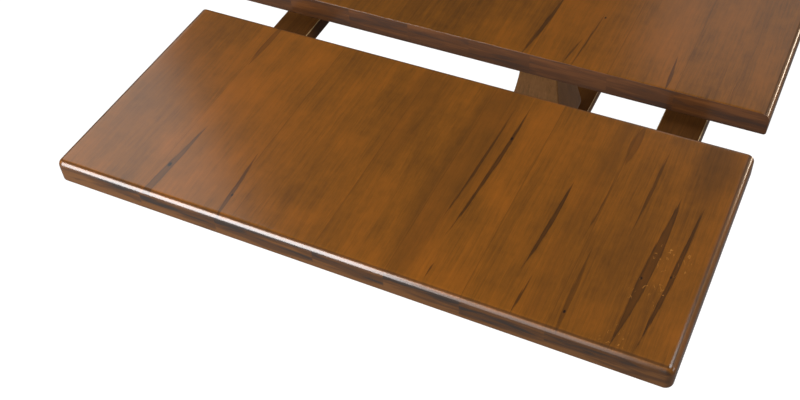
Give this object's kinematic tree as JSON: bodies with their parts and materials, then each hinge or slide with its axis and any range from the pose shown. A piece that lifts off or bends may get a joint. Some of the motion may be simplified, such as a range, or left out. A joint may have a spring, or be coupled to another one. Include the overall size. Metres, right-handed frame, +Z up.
{
  "type": "extendable dining table",
  "caption": "Trestle dining table in solid wood with a loose end leaf at each end, carried on wooden arms that slide out from under the fixed top.",
  "frame": {"origin": "on the floor, under the middle of the table", "axes": "+X along the table towards the right leaf, +Y across it towards the back, +Z up"},
  "size_m": [2.9512, 1.0668, 0.762],
  "materials": {
    "stained_top": "satin lacquer over a warm brown stain on wormy maple",
    "stained_base": "satin lacquer over a brown stain",
    "plain_maple": "clear sealed, planed",
    "steel": "zinc plated",
    "nylon": "moulded"
  },
  "bodies": {
    "table": {"table_top": "stained_top", "centre_batten": "plain_maple", "stretcher": "stained_base", "right_end_batten": "plain_maple", "right_inner_batten": "plain_maple", "right_trestle_head": "stained_base", "right_column": "stained_base", "right_foot": "stained_base", "right_stretcher_wedge": "stained_base", "right_latch_pivot": "steel", "right_front_outer_rail": "plain_maple", "right_front_inner_rail": "plain_maple", "right_front_glide": "nylon", "right_front_head_screw": "steel", "right_front_foot_bolt": "steel", "right_back_outer_rail": "plain_maple", "right_back_inner_rail": "plain_maple", "right_back_glide": "nylon", "right_back_head_screw": "steel", "right_back_foot_bolt": "steel", "left_end_batten": "plain_maple", "left_inner_batten": "plain_maple", "left_trestle_head": "stained_base", "left_column": "stained_base", "left_foot": "stained_base", "left_stretcher_wedge": "stained_base", "left_latch_pivot": "steel", "left_front_outer_rail": "plain_maple", "left_front_inner_rail": "plain_maple", "left_front_glide": "nylon", "left_front_head_screw": "steel", "left_front_foot_bolt": "steel", "left_back_outer_rail": "plain_maple", "left_back_inner_rail": "plain_maple", "left_back_glide": "nylon", "left_back_head_screw": "steel", "left_back_foot_bolt": "steel"},
    "right_front_slide": {"right_front_arm": "stained_base", "right_front_arm_stop": "plain_maple", "right_front_leaf_dowel": "plain_maple"},
    "right_back_slide": {"right_back_arm": "stained_base", "right_back_arm_stop": "plain_maple", "right_back_leaf_dowel": "plain_maple"},
    "right_leaf": {"right_leaf": "stained_top", "right_leaf_inner_batten": "plain_maple", "right_leaf_outer_batten": "plain_maple", "right_latch_catch": "steel"},
    "right_latch": {"right_latch_arm": "steel"},
    "left_front_slide": {"left_front_arm": "stained_base", "left_front_arm_stop": "plain_maple", "left_front_leaf_dowel": "plain_maple"},
    "left_back_slide": {"left_back_arm": "stained_base", "left_back_arm_stop": "plain_maple", "left_back_leaf_dowel": "plain_maple"},
    "left_leaf": {"left_leaf": "stained_top", "left_leaf_inner_batten": "plain_maple", "left_leaf_outer_batten": "plain_maple", "left_latch_catch": "steel"},
    "left_latch": {"left_latch_arm": "steel"}
  },
  "joints": [
    {"name": "right_front_arm_slide", "type": "slide", "parent": "table", "child": "right_front_slide", "axis": [1, 0, 0], "range_m": [-0.1037, 0]},
    {"name": "right_back_arm_slide", "type": "slide", "parent": "table", "child": "right_back_slide", "axis": [1, 0, 0], "range_m": [-0.1037, 0]},
    {"name": "right_leaf_lift", "type": "slide", "parent": "right_front_slide", "child": "right_leaf", "axis": [0, 0, 1], "range_m": [0, 0.3]},
    {"name": "right_latch_swing", "type": "hinge", "parent": "table", "child": "right_latch", "pos_m": [0.8504, 0, 0.68645], "axis": [0, 0, -1], "range_deg": [-90, 0]},
    {"name": "left_front_arm_slide", "type": "slide", "parent": "table", "child": "left_front_slide", "axis": [-1, 0, 0], "range_m": [-0.1037, 0]},
    {"name": "left_back_arm_slide", "type": "slide", "parent": "table", "child": "left_back_slide", "axis": [-1, 0, 0], "range_m": [-0.1037, 0]},
    {"name": "left_leaf_lift", "type": "slide", "parent": "left_front_slide", "child": "left_leaf", "axis": [0, 0, 1], "range_m": [0, 0.3]},
    {"name": "left_latch_swing", "type": "hinge", "parent": "table", "child": "left_latch", "pos_m": [-0.8504, 0, 0.68645], "axis": [0, 0, -1], "range_deg": [-90, 0]}
  ],
  "couplings": [
    {"joint": "right_back_arm_slide", "follows": "right_front_arm_slide", "ratio": 1},
    {"joint": "left_back_arm_slide", "follows": "left_front_arm_slide", "ratio": 1}
  ]
}
